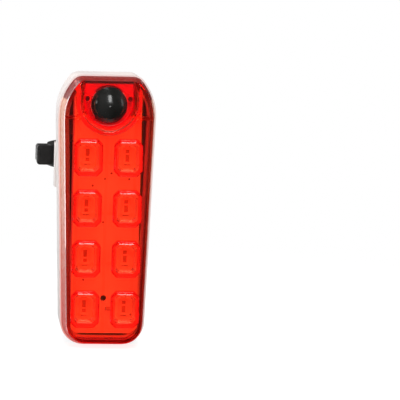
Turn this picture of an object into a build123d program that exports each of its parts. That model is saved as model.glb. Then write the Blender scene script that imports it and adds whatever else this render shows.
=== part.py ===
from build123d import *
import os

os.makedirs("parts", exist_ok=True)

# Bicycle tail light: a red lens over a board of eight LEDs, a white rear shell with two AAA cells,
# and a hinged seatpost clamp. Millimetres, X to the right seen from the front, -Y to the front, +Z up.
# The origin is the centre of the clamp's bore, and the bore's axis is Z.

# Seatpost clamp
post_radius = 13.6
pad_thickness = 1.2
pad_height = 7.0
pad_arc = 150.0
pad_groove_depth = 0.4
pad_groove_width = 0.9
pad_groove_count = 7
ring_wall = 2.4
ring_height = 7.5
ring_front_height = 13.0
ring_front_flat = 8.5
ring_shoulder = 14.5
ring_blend = 1.5
clamp_gap = 1.0
ear_reach = 21.0
ear_height = 6.6
rear_ear_height = 6.0
ear_thickness = 5.0
ear_rounding = 1.0
ear_root = 0.7
ear_front_wall = 0.8
ear_lip_width = 0.9
ear_lip_height = 0.7
ear_lip_notch = 0.8
screw_inset = 3.2
screw_core_radius = 1.0
screw_thread_radius = 1.275
screw_hole_radius = 1.45
screw_length = 10.0
screw_head_radius = 2.25
screw_head_height = 1.9
screw_head_rounding = 0.7
screw_slot_width = 0.8
screw_slot_depth = 1.1
screw_slot_length = 2.8
washer_radius = 2.5
washer_thickness = 0.5
spot_face_play = 0.2
nut_side = 5.0
nut_thickness = 1.6
nut_play = 0.05
hinge_pin_radius = 1.0
hinge_knuckle_radius = 2.5
hinge_overhang = 1.9
hinge_leaf_height = 2.4
hinge_gap = 0.15
hinge_clearance = 0.3
running_fit = 0.05
seat_gap = 0.05

# Tongue on the clamp and dock on the lamp
tongue_half_width = 8.0
tongue_thickness = 2.2
tongue_top = 4.9
tongue_bottom = -10.5
tongue_lead_in = 0.8
neck_half_width = 5.3
neck_bottom = -8.9
dock_play = 0.15
dock_half_width = 16.0
dock_height = 15.0
dock_stop = 1.2
dock_depth = 5.0
dock_root = 3.0
dock_rounding = 2.0
dock_clearance = 0.3

# Lens outline at the joint with the rear shell, measured down from the lens's top edge
lens_top = 30.8
lens_length = 90.0
top_half_width = 10.2
shoulder_half_width = 15.9
shoulder_drop = 14.0
foot_half_width = 13.5
top_rounding = 4.2
foot_rounding = 7.5

# Lens
lens_depth = 9.5
lens_draw_in = 1.2
lens_wall = 1.5
lens_edge_rounding = 0.8
tongue_ring_wall = 0.9
tongue_ring_depth = 2.0
recess_depth = 3.0
recess_centre = 8.1
recess_half_width = 9.7
recess_floor_half_width = 7.9
recess_floor_thickness = 1.5
recess_wall = 1.3
recess_lip_rounding = 0.25
recess_foot_rounding = 0.3
tablet_offset = 6.65
tablet_first_row = 26.5
tablet_foot_margin = 12.65
tablet_row_count = 4
tablet_width = 9.7
tablet_height = 12.2
tablet_corner = 1.8
tablet_rise = 1.4
tablet_draw_in = 0.3
tablet_corner_rounding = 1.0
tablet_edge_rounding = 0.9
light_block_width = 7.2
light_block_height = 9.4
light_block_draw_in = 0.75
light_block_corner = 1.0
light_block_rounding = 0.5
light_block_led_gap = 0.5
rib_drop = 13.4
rib_thickness = 0.8
rib_inner_end = 10.0
rib_board_gap = 0.4
post_radius_at_board = 0.8

# Rear shell
shell_depth = 20.0
shell_ledge = 0.5
shell_draw_in = 0.35
shell_back_rounding = 2.5
shell_back_wall = 2.0
groove_play = 0.15
groove_inner_land = 1.0
seal_thickness = 1.0
seal_gap = 0.05

# Board and its pieces
board_width = 22.9
board_top_drop = 2.0
board_foot_margin = 3.7
board_thickness = 1.6
board_joint_gap = 0.2
board_top_corner = (3.9, 2.5)
board_foot_corner = (2.5, 1.8)
board_hole_radius = 1.0
board_hole_above_foot = 11.8
board_screw_x = 7.2
board_screw_drop = 7.1
board_screw_radius = 0.8
board_screw_head_radius = 1.5
board_screw_head_height = 0.9
board_screw_reach = 4.2
board_screw_slot = 0.4
boss_radius = 1.4
led_lift = 0.5
led_width = 3.0
led_height = 5.7
led_thickness = 0.9
led_window_width = 2.2
led_window_height = 4.7
led_window_depth = 0.3
led_pad_width = 1.25
led_long_pad = 2.25
led_short_pad = 1.1
led_pad_gap = 0.6
led_pad_thickness = 0.1
chip_length = 4.9
chip_width = 3.9
chip_thickness = 1.5
chip_above_foot = 6.8
chip_leg_pitch = 1.27
chip_leg_width = 0.4
chip_leg_reach = 1.0
chip_leg_thickness = 0.4
resistor_length = 2.0
resistor_width = 1.25
resistor_thickness = 0.55
resistor_pitch = 4.2
back_resistor_count = 4
resistor_drop = 17.5
front_resistor_x = 1.6
front_resistor_above_foot = 8.4

# Button and switch
button_drop = 9.0
button_radius = 6.0
button_hole_play = 0.12
button_rise = 4.5
button_cylinder = 0.9
button_flange_radius = 6.45
button_flange_half_width = 4.5
button_flange_thickness = 0.7
button_core_radius = 4.3
button_flange_gap = 0.15
button_travel = 0.4
stem_radius = 1.7
switch_side = 6.0
switch_thickness = 1.6
switch_plunger_radius = 1.6
switch_plunger_rise = 0.5
switch_plunger_hold = 0.5

# Cells, tray and contacts
cell_radius = 5.25
cell_body_length = 43.5
cell_nub_radius = 1.9
cell_nub_length = 1.0
cell_gap = 0.5
cell_rounding = 0.5
tray_top_drop = 21.5
tray_wall = 1.4
tray_floor = 1.2
tray_half_width = 10.9
tray_wall_front = 1.5
tray_ridge_width = 1.6
tray_ridge_height = 1.8
tray_lip_width = 0.6
contact_thickness = 0.4
contact_half_width = 3.6
contact_height = 6.8
blade_half_width = 1.5
spring_length = 3.0
spring_wide_radius = 3.0
spring_narrow_radius = 2.0
spring_wire = 0.6

# How near an edge lies to a plane or radius when it is picked by it
plane_tolerance = 0.001

# Planes that the pieces share
ring_inner = post_radius + pad_thickness
ring_outer = ring_inner + ring_wall
shell_back = -(ring_outer + dock_clearance + dock_depth)
joint = shell_back - shell_depth
lens_front = joint - lens_depth
tablet_front = lens_front - tablet_rise
board_back = joint - board_joint_gap
board_front = board_back - board_thickness
floor_front = lens_front + recess_depth
floor_back = floor_front + recess_floor_thickness
tablet_pitch = (lens_length - tablet_first_row - tablet_foot_margin) / (tablet_row_count - 1)
board_bottom_drop = lens_length - board_foot_margin
board_hole_drop = board_bottom_drop - board_hole_above_foot
chip_drop = board_bottom_drop - chip_above_foot
front_resistor_drop = board_bottom_drop - front_resistor_above_foot
ear_front = -clamp_gap / 2 - ear_thickness
screw_x = -(ear_reach - screw_inset)
hinge_x = ring_inner + hinge_overhang
hinge_half_height = ring_height / 2


def facing(y, drop=0.0):
    """A sketch plane seen from the front, at depth y, with its zero a given drop below the lens's top."""
    return Plane(origin=(0, y, lens_top - drop), x_dir=(1, 0, 0), z_dir=(0, -1, 0))


def square_on(x, y, z):
    """A sketch plane seen from the front, with its zero at a point."""
    return Plane(origin=(x, y, z), x_dir=(1, 0, 0), z_dir=(0, -1, 0))


def level(z):
    """A horizontal sketch plane at height z."""
    return Plane.XY.offset(z)


def rim(inset):
    """The lens's outline at the joint, drawn in by an inset, or out by a negative one."""
    side_run = shoulder_half_width - foot_half_width
    side_rise = lens_length - shoulder_drop
    with BuildSketch() as outline:
        with BuildLine():
            Line((-top_half_width, 0), (top_half_width, 0))
            Line((-foot_half_width, -lens_length), (foot_half_width, -lens_length))
            for hand in (-1, 1):
                shoulder = (hand * shoulder_half_width, -shoulder_drop)
                TangentArc(
                    shoulder,
                    (hand * top_half_width, 0),
                    tangent=(hand * side_run, side_rise),
                )
                Line(shoulder, (hand * foot_half_width, -lens_length))
        make_face()
        fillet(vertices().group_by(Axis.Y)[-1], radius=top_rounding)
        fillet(vertices().group_by(Axis.Y)[0], radius=foot_rounding)
        if inset:
            offset(amount=-inset)
    return outline.sketch


def rim_block(near, near_inset, far, far_inset):
    """A solid between two such outlines, each at its own depth and with its own inset."""
    with BuildPart() as block:
        with BuildSketch(facing(near)):
            add(rim(near_inset))
        with BuildSketch(facing(far)):
            add(rim(far_inset))
        loft(ruled=True)
    return block.part


def recess(half_width):
    """The button recess: a half circle below, and straight sides that run out over the lens's top."""
    above = recess_centre + half_width
    with BuildSketch() as outline:
        with BuildLine():
            Polyline(
                (-half_width, -recess_centre),
                (-half_width, above),
                (half_width, above),
                (half_width, -recess_centre),
            )
            ThreePointArc(
                (half_width, -recess_centre),
                (0, -recess_centre - half_width),
                (-half_width, -recess_centre),
            )
        make_face()
    return outline.sketch


def edges_at(block, y):
    """The edges that lie in the upright plane at depth y."""
    return block.edges().filter_by_position(Axis.Y, y - plane_tolerance, y + plane_tolerance)


def recess_edges(block, y, half_width):
    """The recess's own edges at depth y: its half circle and its two straight sides."""
    edges = edges_at(block, y)
    sides = edges.filter_by(Axis.Z).filter_by(
        lambda e: abs(abs(e.center().X) - half_width) < plane_tolerance
    )
    bends = edges.filter_by(GeomType.CIRCLE).filter_by(
        lambda e: abs(e.radius - half_width) < plane_tolerance
    )
    return sides + bends


def wall_draft(y):
    """How far the lens's wall has drawn in at depth y, from nothing at the joint."""
    return lens_draw_in * (joint - y) / lens_depth


tablet_spots = [
    (hand * tablet_offset, -(tablet_first_row + row * tablet_pitch))
    for hand in (-1, 1)
    for row in range(tablet_row_count)
]
led_spots = [(x, y + led_lift) for x, y in tablet_spots]
screw_spots = [(-board_screw_x, -board_screw_drop), (board_screw_x, -board_screw_drop)]
post_spots = [(-rib_inner_end, -rib_drop), (rib_inner_end, -rib_drop)]


def tablet(width, height, corner, rounding):
    """A rectangle with its four corners cut off, and the cuts' own corners rounded."""
    with BuildSketch() as outline:
        Rectangle(width, height)
        chamfer(outline.vertices(), length=corner)
        fillet(outline.vertices(), radius=rounding)
    return outline.sketch


# Lens: a drafted cup with a floor sunk round the button, and eight raised tablets, each with a tapered
# light block behind it that ends just in front of its LED.
inner_front = lens_front + lens_wall
inner_inset = lens_wall + wall_draft(inner_front)
with BuildPart() as lens_hollow:
    add(rim_block(joint, lens_wall, inner_front, inner_inset))
    with BuildSketch(facing(inner_front)):
        add(recess(recess_half_width + recess_wall))
    extrude(amount=-(floor_back - inner_front), mode=Mode.SUBTRACT)
    rib_span = shoulder_half_width - rib_inner_end
    with BuildSketch(facing(inner_front, rib_drop)):
        with Locations((-rib_inner_end - rib_span / 2, 0), (rib_inner_end + rib_span / 2, 0)):
            Rectangle(rib_span, rib_thickness)
    extrude(amount=-(board_front - rib_board_gap - inner_front), mode=Mode.SUBTRACT)
    with BuildSketch(facing(inner_front)):
        with Locations(*post_spots):
            Circle(post_radius_at_board)
    extrude(amount=-(board_front - seat_gap - inner_front), mode=Mode.SUBTRACT)
    with BuildSketch(facing(floor_back)):
        with Locations(*screw_spots):
            Circle(boss_radius)
    extrude(amount=-(board_front - seat_gap - floor_back), mode=Mode.SUBTRACT)

with BuildPart() as tablet_block:
    with BuildSketch(square_on(0, lens_front, 0)):
        add(tablet(tablet_width, tablet_height, tablet_corner, tablet_corner_rounding))
    with BuildSketch(square_on(0, tablet_front, 0)):
        add(tablet(
            tablet_width - 2 * tablet_draw_in,
            tablet_height - 2 * tablet_draw_in,
            tablet_corner,
            tablet_corner_rounding,
        ))
    loft(ruled=True)
    fillet(edges_at(tablet_block, tablet_front), radius=tablet_edge_rounding)

light_block_end = board_front - led_thickness - light_block_led_gap
with BuildPart() as light_block:
    with BuildSketch(square_on(0, inner_front, 0)):
        add(tablet(light_block_width, light_block_height, light_block_corner, light_block_rounding))
    with BuildSketch(square_on(0, light_block_end, 0)):
        add(tablet(
            light_block_width - 2 * light_block_draw_in,
            light_block_height - 2 * light_block_draw_in,
            light_block_corner,
            light_block_rounding,
        ))
    loft(ruled=True)

with BuildPart() as lens:
    add(rim_block(joint, 0, lens_front, lens_draw_in))
    fillet(lens.faces().sort_by(Axis.Y)[0].edges(), radius=lens_edge_rounding)
    add(lens_hollow.part, mode=Mode.SUBTRACT)
    with BuildSketch(facing(lens_front)):
        add(recess(recess_half_width))
    with BuildSketch(facing(floor_front)):
        add(recess(recess_floor_half_width))
    loft(ruled=True, mode=Mode.SUBTRACT)
    fillet(recess_edges(lens, floor_front, recess_floor_half_width), radius=recess_foot_rounding)
    fillet(recess_edges(lens, lens_front, recess_half_width), radius=recess_lip_rounding)
    with Locations(*[(x, 0, lens_top + y) for x, y in tablet_spots]):
        add(tablet_block.part)
    with Locations(*[(x, 0, lens_top + y) for x, y in tablet_spots]):
        add(light_block.part)
    with BuildSketch(facing(joint)):
        add(rim(lens_wall - tongue_ring_wall))
        add(rim(lens_wall), mode=Mode.SUBTRACT)
    extrude(amount=-tongue_ring_depth)
    with BuildSketch(facing(floor_front)):
        with Locations((0, -button_drop)):
            Circle(button_radius + button_hole_play)
    extrude(amount=-recess_floor_thickness, mode=Mode.SUBTRACT)
    with BuildSketch(facing(board_front - seat_gap)):
        with Locations(*screw_spots):
            Circle(board_screw_radius + seat_gap)
    extrude(amount=board_screw_reach - board_thickness, mode=Mode.SUBTRACT)
lens.part.label = "lens"
export_step(lens.part, "parts/lens.step")

# Button: a glossy dome on a round core, with two ears behind the lens's floor that keep it in.
button_z = lens_top - button_drop
dome_tip = floor_front - button_rise
dome_base = floor_front - button_cylinder
dome_height = dome_base - dome_tip
dome_sphere = (button_radius**2 + dome_height**2) / (2 * dome_height)
flange_front = floor_back + button_flange_gap
flange_back = flange_front + button_flange_thickness
switch_front = board_front - switch_thickness
stem_back = switch_front - switch_plunger_rise
with BuildPart() as button_dome:
    with BuildSketch(level(button_z)):
        with BuildLine():
            RadiusArc((button_radius, dome_base), (0, dome_tip), dome_sphere)
            Polyline(
                (0, dome_tip),
                (0, stem_back),
                (stem_radius, stem_back),
                (stem_radius, flange_back),
                (button_core_radius, flange_back),
                (button_core_radius, floor_back),
                (button_radius, floor_back),
                (button_radius, dome_base),
            )
        make_face()
    revolve(axis=Axis((0, 0, button_z), (0, 1, 0)))
    with BuildSketch(facing(flange_back, button_drop)):
        Circle(button_flange_radius)
        Rectangle(
            2 * button_flange_half_width,
            2 * button_flange_radius,
            mode=Mode.INTERSECT,
        )
    extrude(amount=button_flange_thickness)
button_dome.part.label = "button_dome"
export_step(button_dome.part, "parts/button_dome.step")

# Tact switch: a square body with a round well, and the plunger that the button's stem pushes.
with BuildPart() as tact_switch:
    with BuildSketch(facing(board_front, button_drop)):
        Rectangle(switch_side, switch_side)
    extrude(amount=switch_thickness)
    with BuildSketch(facing(switch_front, button_drop)):
        Circle(switch_plunger_radius + running_fit)
    extrude(amount=-(switch_plunger_hold + 2 * button_travel), mode=Mode.SUBTRACT)
tact_switch.part.label = "tact_switch"
export_step(tact_switch.part, "parts/tact_switch.step")

with BuildPart() as switch_plunger:
    with BuildSketch(facing(stem_back, button_drop)):
        Circle(switch_plunger_radius)
    extrude(amount=-(switch_plunger_rise + switch_plunger_hold))
switch_plunger.part.label = "switch_plunger"
export_step(switch_plunger.part, "parts/switch_plunger.step")

# Board: a plate with cut corners, held by two screws against the lens's two bosses and two posts.
with BuildPart() as led_board:
    with BuildSketch(facing(board_back)):
        with BuildLine():
            half = board_width / 2
            Polyline(
                (0, -board_top_drop),
                (half - board_top_corner[0], -board_top_drop),
                (half, -board_top_drop - board_top_corner[1]),
                (half, -board_bottom_drop + board_foot_corner[1]),
                (half - board_foot_corner[0], -board_bottom_drop),
                (0, -board_bottom_drop),
            )
            mirror(about=Plane.YZ)
        make_face()
        with Locations(*screw_spots):
            Circle(board_screw_radius + seat_gap, mode=Mode.SUBTRACT)
        with Locations((0, -board_hole_drop)):
            Circle(board_hole_radius, mode=Mode.SUBTRACT)
    extrude(amount=board_thickness)
led_board.part.label = "led_board"
export_step(led_board.part, "parts/led_board.step")

with BuildPart() as board_screws:
    with BuildSketch(facing(board_back)):
        with Locations(*screw_spots):
            Circle(board_screw_radius)
    extrude(amount=board_screw_reach)
    with BuildSketch(facing(board_back + board_screw_head_height)):
        with Locations(*screw_spots):
            Circle(board_screw_head_radius)
    extrude(amount=board_screw_head_height)
    with BuildSketch(facing(board_back + board_screw_head_height)):
        with Locations(*screw_spots):
            Rectangle(board_screw_head_radius, board_screw_slot)
            Rectangle(board_screw_slot, board_screw_head_radius)
    extrude(amount=board_screw_slot, mode=Mode.SUBTRACT)
board_screws.part.label = "board_screws"
export_step(board_screws.part, "parts/board_screws.step")

# LEDs: a white package with a window, four to each column, and the bright pads in each window.
pad_plane = board_front - led_thickness + led_window_depth
for side, column in (("left", 0), ("right", tablet_row_count)):
    for row in range(tablet_row_count):
        with BuildPart() as led:
            with BuildSketch(facing(board_front)):
                with Locations(led_spots[column + row]):
                    Rectangle(led_width, led_height)
            extrude(amount=led_thickness)
            with BuildSketch(facing(pad_plane)):
                with Locations(led_spots[column + row]):
                    Rectangle(led_window_width, led_window_height)
            extrude(amount=led_window_depth, mode=Mode.SUBTRACT)
        led.part.label = f"led_{side}_{row + 1}"
        export_step(led.part, f"parts/led_{side}_{row + 1}.step")

pads_length = led_long_pad + led_pad_gap + led_short_pad
with BuildPart() as led_pads:
    with BuildSketch(facing(pad_plane)):
        for x, y in led_spots:
            lift = 1 if x < 0 else -1
            with Locations((x, y + lift * (pads_length - led_long_pad) / 2)):
                Rectangle(led_pad_width, led_long_pad)
            with Locations((x, y - lift * (pads_length - led_short_pad) / 2)):
                Rectangle(led_pad_width, led_short_pad)
    extrude(amount=led_pad_thickness)
led_pads.part.label = "led_pads"
export_step(led_pads.part, "parts/led_pads.step")

# Chip and resistors: soldered to the board's back, with one resistor on its front.
with BuildPart() as controller_chip:
    with BuildSketch(facing(board_back, chip_drop)):
        Rectangle(chip_length, chip_width)
    extrude(amount=-chip_thickness)
    with BuildSketch(facing(board_back, chip_drop)):
        with GridLocations(chip_leg_pitch, chip_width + chip_leg_reach, 4, 2):
            Rectangle(chip_leg_width, chip_leg_reach)
    extrude(amount=-chip_leg_thickness)
controller_chip.part.label = "controller_chip"
export_step(controller_chip.part, "parts/controller_chip.step")

with BuildPart() as resistors:
    with BuildSketch(facing(board_back, resistor_drop)):
        with GridLocations(resistor_pitch, 1, back_resistor_count, 1):
            Rectangle(resistor_width, resistor_length)
    extrude(amount=-resistor_thickness)
    with BuildSketch(facing(board_front, front_resistor_drop)):
        with Locations((front_resistor_x, 0)):
            Rectangle(resistor_length, resistor_width)
    extrude(amount=resistor_thickness)
resistors.part.label = "resistors"
export_step(resistors.part, "parts/resistors.step")

# Rear shell: a cup with a groove in its rim for the lens's tongue, and the dock on its back.
shell_front = joint + seat_gap
groove_depth = tongue_ring_depth + seal_thickness + 2 * seal_gap
cavity_inset = lens_wall + groove_play + groove_inner_land
cavity_back = shell_back - shell_back_wall
cavity_draft = shell_draw_in * (cavity_back - joint) / shell_depth
dock_top = tongue_top + dock_play + dock_stop
dock_bottom = dock_top - dock_height
dock_slot_back = shell_back + tongue_thickness + 2 * dock_play
with BuildPart() as rear_shell:
    add(rim_block(shell_front, -shell_ledge, shell_back, shell_draw_in - shell_ledge))
    fillet(rear_shell.faces().sort_by(Axis.Y)[-1].edges(), radius=shell_back_rounding)
    with BuildSketch(level(dock_bottom)):
        with Locations((0, shell_back + (dock_depth - dock_root) / 2)):
            RectangleRounded(2 * dock_half_width, dock_depth + dock_root, dock_rounding)
    extrude(amount=dock_height)
    add(
        rim_block(joint, cavity_inset, cavity_back, cavity_inset + cavity_draft),
        mode=Mode.SUBTRACT,
    )
    with BuildSketch(facing(joint)):
        add(rim(lens_wall - tongue_ring_wall - groove_play))
        add(rim(lens_wall + groove_play), mode=Mode.SUBTRACT)
    extrude(amount=-groove_depth, mode=Mode.SUBTRACT)
    with BuildSketch(level(dock_bottom)):
        with Locations((0, (shell_back + dock_slot_back) / 2)):
            Rectangle(2 * (tongue_half_width + dock_play), dock_slot_back - shell_back)
        with Locations((0, shell_back + dock_depth / 2)):
            Rectangle(2 * (neck_half_width + dock_play), dock_depth)
    extrude(amount=dock_height - dock_stop, mode=Mode.SUBTRACT)
rear_shell.part.label = "rear_shell"
export_step(rear_shell.part, "parts/rear_shell.step")

with BuildPart() as lens_seal:
    with BuildSketch(facing(joint + tongue_ring_depth + seal_gap)):
        add(rim(lens_wall - tongue_ring_wall))
        add(rim(lens_wall), mode=Mode.SUBTRACT)
    extrude(amount=-seal_thickness)
lens_seal.part.label = "lens_seal"
export_step(lens_seal.part, "parts/lens_seal.step")

# Battery tray: a floor with two end walls, a ridge between the cells and a low lip at each side.
tray_back = cavity_back - seat_gap
tray_front = tray_back - tray_floor
cell_axis = tray_front - seat_gap - cell_radius
cell_x = cell_radius + cell_gap / 2
plate_top_drop = tray_top_drop + tray_wall + seat_gap
column_top_drop = plate_top_drop + contact_thickness + seat_gap
cell_length = cell_body_length + cell_nub_length
plate_foot_drop = column_top_drop + cell_length + spring_length + 2 * seat_gap
tray_foot_drop = plate_foot_drop + contact_thickness + seat_gap + tray_wall
tray_length = tray_foot_drop - tray_top_drop
with BuildPart() as battery_tray:
    with BuildSketch(facing(tray_back, tray_top_drop + tray_length / 2)):
        Rectangle(2 * tray_half_width, tray_length)
    extrude(amount=tray_floor)
    with BuildSketch(facing(tray_front, tray_top_drop + tray_length / 2)):
        with GridLocations(1, tray_length - tray_wall, 1, 2):
            Rectangle(2 * tray_half_width, tray_wall)
    extrude(amount=tray_front - joint - tray_wall_front)
    with BuildSketch(facing(tray_front, tray_top_drop + tray_length / 2)):
        Rectangle(tray_ridge_width, tray_length)
        with GridLocations(2 * tray_half_width - tray_lip_width, 1, 2, 1):
            Rectangle(tray_lip_width, tray_length)
    extrude(amount=tray_ridge_height)
battery_tray.part.label = "battery_tray"
export_step(battery_tray.part, "parts/battery_tray.step")

# Cells: two AAA cells side by side, the left one with its nub up and the right one with it down.
for side, hand in (("left", -1), ("right", 1)):
    up = 1 if hand < 0 else -1
    if up > 0:
        nub_drop = column_top_drop
        spring_drop = column_top_drop + cell_length + seat_gap
    else:
        nub_drop = column_top_drop + spring_length + seat_gap + cell_length
        spring_drop = column_top_drop
    with BuildPart() as cell:
        with BuildSketch(level(lens_top - nub_drop)):
            with Locations((hand * cell_x, cell_axis)):
                Circle(cell_nub_radius)
        extrude(amount=-up * cell_length)
        with BuildSketch(level(lens_top - nub_drop - up * cell_nub_length)):
            with Locations((hand * cell_x, cell_axis)):
                Circle(cell_radius)
        extrude(amount=-up * cell_body_length)
        fillet(
            cell.edges().filter_by(GeomType.CIRCLE).filter_by(lambda e: e.radius > cell_nub_radius * 2),
            radius=cell_rounding,
        )
    cell.part.label = f"cell_{side}"
    export_step(cell.part, f"parts/cell_{side}.step")

    wide_end = spring_drop + spring_length if up > 0 else spring_drop
    narrow_end = spring_drop if up > 0 else spring_drop + spring_length
    with BuildPart() as contact_spring:
        for reach, sign in ((0, Mode.ADD), (spring_wire, Mode.SUBTRACT)):
            with BuildSketch(level(lens_top - wide_end)):
                with Locations((hand * cell_x, cell_axis)):
                    Circle(spring_wide_radius - reach)
            with BuildSketch(level(lens_top - narrow_end)):
                with Locations((hand * cell_x, cell_axis)):
                    Circle(spring_narrow_radius - reach)
            loft(mode=sign)
    contact_spring.part.label = f"contact_spring_{side}"
    export_step(contact_spring.part, f"parts/contact_spring_{side}.step")

# Contacts: a bridge across both cells at the foot, and at the top a plate for each cell, with a blade
# that reaches the board.
with BuildPart() as bridge_contact:
    with BuildSketch(level(lens_top - plate_foot_drop)):
        with Locations((0, cell_axis)):
            Rectangle(2 * (cell_x + contact_half_width), contact_height)
    extrude(amount=-contact_thickness)
bridge_contact.part.label = "bridge_contact"
export_step(bridge_contact.part, "parts/bridge_contact.step")

blade_front = board_back + seat_gap
for sign_name, hand in (("positive", -1), ("negative", 1)):
    with BuildPart() as contact:
        with BuildSketch(level(lens_top - plate_top_drop)):
            with Locations((hand * cell_x, cell_axis)):
                Rectangle(2 * contact_half_width, contact_height)
            with Locations((hand * cell_x, (blade_front + cell_axis) / 2)):
                Rectangle(2 * blade_half_width, cell_axis - blade_front)
        extrude(amount=-contact_thickness)
    contact.part.label = f"{sign_name}_contact"
    export_step(contact.part, f"parts/{sign_name}_contact.step")


def ear_block(hand, height):
    """The clamping ear of one half: hand is -1 for the front half and 1 for the rear half."""
    inner_end = ring_inner + ear_root
    middle = hand * (clamp_gap / 2 + ear_thickness / 2)
    with BuildPart() as ear:
        with BuildSketch(level(-height / 2)):
            with Locations((-(ear_reach + inner_end) / 2, middle)):
                Rectangle(ear_reach - inner_end, ear_thickness)
        extrude(amount=height)
        fillet(ear.faces().sort_by(Axis.X)[0].edges(), radius=ear_rounding)
    return ear.part


def half_ring(hand, height):
    """Half of the clamp's ring, cut back from the middle plane by half the clamping gap."""
    with BuildPart() as half:
        with BuildSketch(level(-height / 2)):
            Circle(ring_outer)
            Circle(ring_inner, mode=Mode.SUBTRACT)
            with Locations((0, hand * (clamp_gap / 2 + ring_outer))):
                Rectangle(2 * ring_outer, 2 * ring_outer, mode=Mode.INTERSECT)
        extrude(amount=height)
    return half.part


def knuckle(radius, low, high):
    """A round block about the hinge pin, from one height to another."""
    with BuildPart() as block:
        with BuildSketch(level(low)):
            with Locations((hinge_x, 0)):
                Circle(radius)
        extrude(amount=high - low)
    return block.part


leaf_low = hinge_half_height - hinge_leaf_height
knuckle_high = leaf_low - hinge_gap
clear_radius = hinge_knuckle_radius + hinge_clearance

# Clamp front half: a half ring that grows taller towards its neck, a T-shaped tongue for the lamp's
# dock, the ear with a pocket for the square nut, and the two outer leaves of the hinge.
pocket_depth = nut_thickness + 2 * nut_play
with BuildPart() as clamp_front:
    add(half_ring(-1, ring_front_height))
    with BuildSketch(square_on(0, 0, 0)):
        with BuildLine():
            Polyline(
                (0, ring_front_height / 2),
                (ring_front_flat, ring_front_height / 2),
                (ring_shoulder, ring_height / 2),
                (ring_outer, ring_height / 2),
                (ring_outer, -ring_height / 2),
                (ring_shoulder, -ring_height / 2),
                (ring_front_flat, -ring_front_height / 2),
                (0, -ring_front_height / 2),
            )
            mirror(about=Plane.YZ)
        make_face()
        fillet(vertices().filter_by(lambda v: abs(v.X) < ring_inner), radius=ring_blend)
    extrude(amount=ring_outer, mode=Mode.INTERSECT)
    neck_front = shell_back + dock_play + tongue_thickness
    neck_back = -(ring_inner + ring_wall / 2)
    with BuildSketch(level(neck_bottom)):
        with Locations((0, (neck_front + neck_back) / 2)):
            Rectangle(2 * neck_half_width, neck_back - neck_front)
    extrude(amount=tongue_top - neck_bottom)
    with BuildSketch(level(-ring_front_height)):
        Circle(ring_inner)
    extrude(amount=2 * ring_front_height, mode=Mode.SUBTRACT)
    with BuildSketch(square_on(0, neck_front, 0)):
        with Locations((0, (tongue_top + tongue_bottom) / 2)):
            Rectangle(2 * tongue_half_width, tongue_top - tongue_bottom)
        chamfer(vertices(), length=tongue_lead_in)
    extrude(amount=tongue_thickness)
    add(ear_block(-1, ear_height))
    for low in (leaf_low, -hinge_half_height):
        add(knuckle(hinge_knuckle_radius, low, low + hinge_leaf_height))
    add(knuckle(clear_radius, -leaf_low, leaf_low), mode=Mode.SUBTRACT)
    add(
        knuckle(hinge_pin_radius + running_fit, -hinge_half_height, hinge_half_height),
        mode=Mode.SUBTRACT,
    )
    with BuildSketch(square_on(screw_x, -clamp_gap / 2, 0)):
        Rectangle(nut_side + 2 * nut_play, nut_side + 2 * nut_play)
    extrude(amount=pocket_depth, mode=Mode.SUBTRACT)
    with BuildSketch(square_on(screw_x, -clamp_gap / 2, 0)):
        Circle(screw_hole_radius)
    extrude(amount=ear_thickness - ear_front_wall, mode=Mode.SUBTRACT)
    with BuildSketch(square_on(-ear_reach, ear_front + ear_thickness / 2, 0)):
        with Locations((ear_lip_width / 2, -ear_lip_notch / 2)):
            Rectangle(ear_lip_width, ear_height - 2 * ear_rounding - ear_lip_notch)
    extrude(amount=ear_thickness / 2 + ear_lip_height)
clamp_front.part.label = "clamp_front"
export_step(clamp_front.part, "parts/clamp_front.step")

# Clamp rear half: a plain half ring with the other ear and the middle knuckle.
with BuildPart() as clamp_rear:
    add(half_ring(1, ring_height))
    add(ear_block(1, rear_ear_height))
    for low in (knuckle_high, -hinge_half_height):
        add(
            knuckle(clear_radius, low, low + hinge_half_height - knuckle_high),
            mode=Mode.SUBTRACT,
        )
    add(knuckle(hinge_knuckle_radius, -knuckle_high, knuckle_high))
    add(
        knuckle(hinge_pin_radius + running_fit, -hinge_half_height, hinge_half_height),
        mode=Mode.SUBTRACT,
    )
    with BuildSketch(square_on(screw_x, clamp_gap / 2, 0)):
        Circle(screw_hole_radius)
    extrude(amount=-ear_thickness, mode=Mode.SUBTRACT)
    with BuildSketch(square_on(screw_x, clamp_gap / 2 + ear_thickness, 0)):
        Circle(washer_radius + spot_face_play)
    extrude(amount=-(washer_thickness + screw_head_height), mode=Mode.SUBTRACT)
clamp_rear.part.label = "clamp_rear"
export_step(clamp_rear.part, "parts/clamp_rear.step")

with BuildPart() as clamp_hinge_pin:
    with BuildSketch(level(-hinge_half_height)):
        with Locations((hinge_x, 0)):
            Circle(hinge_pin_radius)
    extrude(amount=ring_height)
clamp_hinge_pin.part.label = "clamp_hinge_pin"
export_step(clamp_hinge_pin.part, "parts/clamp_hinge_pin.step")

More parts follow.
